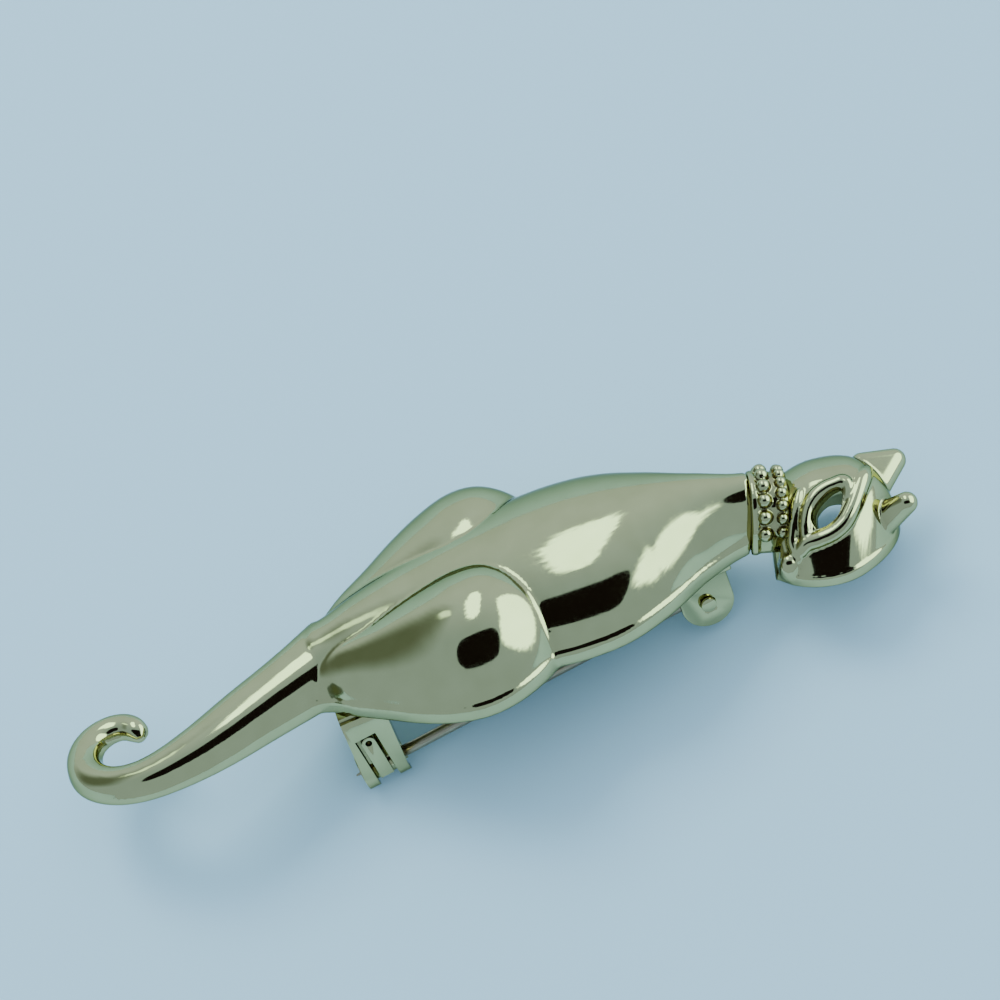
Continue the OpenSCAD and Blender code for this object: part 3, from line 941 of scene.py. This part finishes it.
world = bpy.data.worlds.new("soft room")
world.use_nodes = True
tree = world.node_tree
tree.nodes.clear()
place = add_node(tree, "ShaderNodeTexCoord")
turned = add_node(
    tree,
    "ShaderNodeMapping",
    {"Rotation": (0, 0, ROOM_TURN)},
    {"Vector": place.outputs["Generated"]},
)
way = add_node(tree, "ShaderNodeSeparateXYZ", links={"Vector": turned.outputs["Vector"]})
back_share = add_node(
    tree,
    "ShaderNodeMapRange",
    {"interpolation_type": "SMOOTHSTEP", "From Min": -0.25, "From Max": 0.95},
    {"Value": way.outputs["Y"]},
)
room = add_node(
    tree,
    "ShaderNodeMix",
    {"data_type": "RGBA", 6: linear(ROOM_FRONT), 7: linear(ROOM_BACK)},
    {"Factor": back_share.outputs["Result"]},
)
background = add_node(
    tree, "ShaderNodeBackground", {"Strength": ROOM_GLOW}, {"Color": room.outputs[2]}
)
add_node(tree, "ShaderNodeOutputWorld", links={"Surface": background.outputs[0]})
bpy.context.scene.world = world


def round_about(azimuth, elevation, distance):
    a = math.radians(azimuth)
    e = math.radians(elevation)
    return Vector((math.cos(a) * math.cos(e), math.sin(a) * math.cos(e), math.sin(e))) * distance


def facing(place):
    """Turns a pane's front, its -Z side, towards the brooch."""
    return Matrix.Translation(place) @ place.to_track_quat("Z", "Y").to_matrix().to_4x4()


def soft_light(name, azimuth, elevation, distance, size, power):
    light = bpy.data.lights.new(name, "AREA")
    light.shape = "SQUARE"
    light.size = size
    light.energy = power
    light.color = linear(LAMP)[:3]
    lamp = bpy.data.objects.new(name, light)
    lamp.matrix_world = facing(round_about(azimuth, elevation, distance))
    lamp.visible_glossy = False
    bpy.context.scene.collection.objects.link(lamp)


soft_light("back_light", 115, 52, 1.0, 0.45, 6)
soft_light("overhead", 0, 88, 1.3, 1.8, 9)


def pane(name, azimuth, elevation, roll, width, height, colour, glow, edge, ragged=0.0):
    """A pane that only the polish sees; its size is in degrees and its edge fades out."""
    wide, high = [2 * PANE_FAR * math.tan(math.radians(angle) / 2) for angle in (width, height)]
    bm = bmesh.new()
    bm.loops.layers.uv.new("across")
    bmesh.ops.create_grid(bm, x_segments=1, y_segments=1, size=0.5, calc_uvs=True)
    made = piece(name, bm)
    turned = Matrix.Rotation(math.radians(roll), 4, "Z") @ Matrix.Diagonal((wide, high, 1, 1))
    made.data.transform(facing(round_about(azimuth, elevation, PANE_FAR)) @ turned)
    material, tree = new_material(name)
    place = add_node(tree, "ShaderNodeTexCoord")
    across = add_node(tree, "ShaderNodeSeparateXYZ", links={"Vector": place.outputs["UV"]})
    sides = []
    for axis, span in (("X", wide), ("Y", high)):
        fold = add_node(
            tree, "ShaderNodeMath", {"operation": "PINGPONG", 1: 0.5}, {0: across.outputs[axis]}
        )
        inner = add_node(
            tree, "ShaderNodeMath", {"operation": "MULTIPLY", 1: span}, {0: fold.outputs[0]}
        )
        sides.append(inner.outputs[0])
    nearest = add_node(
        tree,
        "ShaderNodeMath",
        {"operation": "SMOOTH_MIN", 2: PANE_CORNER},
        {0: sides[0], 1: sides[1]},
    )
    leaves = add_node(
        tree,
        "ShaderNodeTexNoise",
        {"Scale": 26, "Detail": 3.0},
        {"Vector": place.outputs["Object"]},
    )
    torn = add_node(
        tree,
        "ShaderNodeMath",
        {"operation": "MULTIPLY_ADD", 1: -ragged},
        {0: leaves.outputs["Fac"], 2: nearest.outputs[0]},
    )
    shown = add_node(
        tree,
        "ShaderNodeMapRange",
        {"interpolation_type": "SMOOTHSTEP", "From Min": 0.0, "From Max": edge},
        {"Value": torn.outputs[0]},
    )
    light = add_node(tree, "ShaderNodeEmission", {"Color": linear(colour), "Strength": glow})
    clear = add_node(tree, "ShaderNodeBsdfTransparent")
    mixed = add_node(
        tree,
        "ShaderNodeMixShader",
        links={"Fac": shown.outputs["Result"], 1: clear.outputs[0], 2: light.outputs[0]},
    )
    add_node(tree, "ShaderNodeOutputMaterial", links={"Surface": mixed.outputs[0]})
    made.data.materials.append(material)
    made.visible_camera = False
    made.visible_shadow = False
    made.visible_diffuse = False


pane("back_window", 90, 57, 0, 30, 56, WINDOW, 5.0, 0.03, 0.08)
pane("side_window", 5, 29, 0, 72, 54, WINDOW, 5.0, 0.05, 0.08)
pane("left_window", 128, 42, 0, 14, 26, WINDOW, 2.6, 0.03)
pane("dark_front", -79, 65, -15, 64, 34, DARK_CARD, 0.5, 0.012)
pane("dim_left", 150, 26, 0, 64, 62, DIM_CARD, 0.8, 0.25)
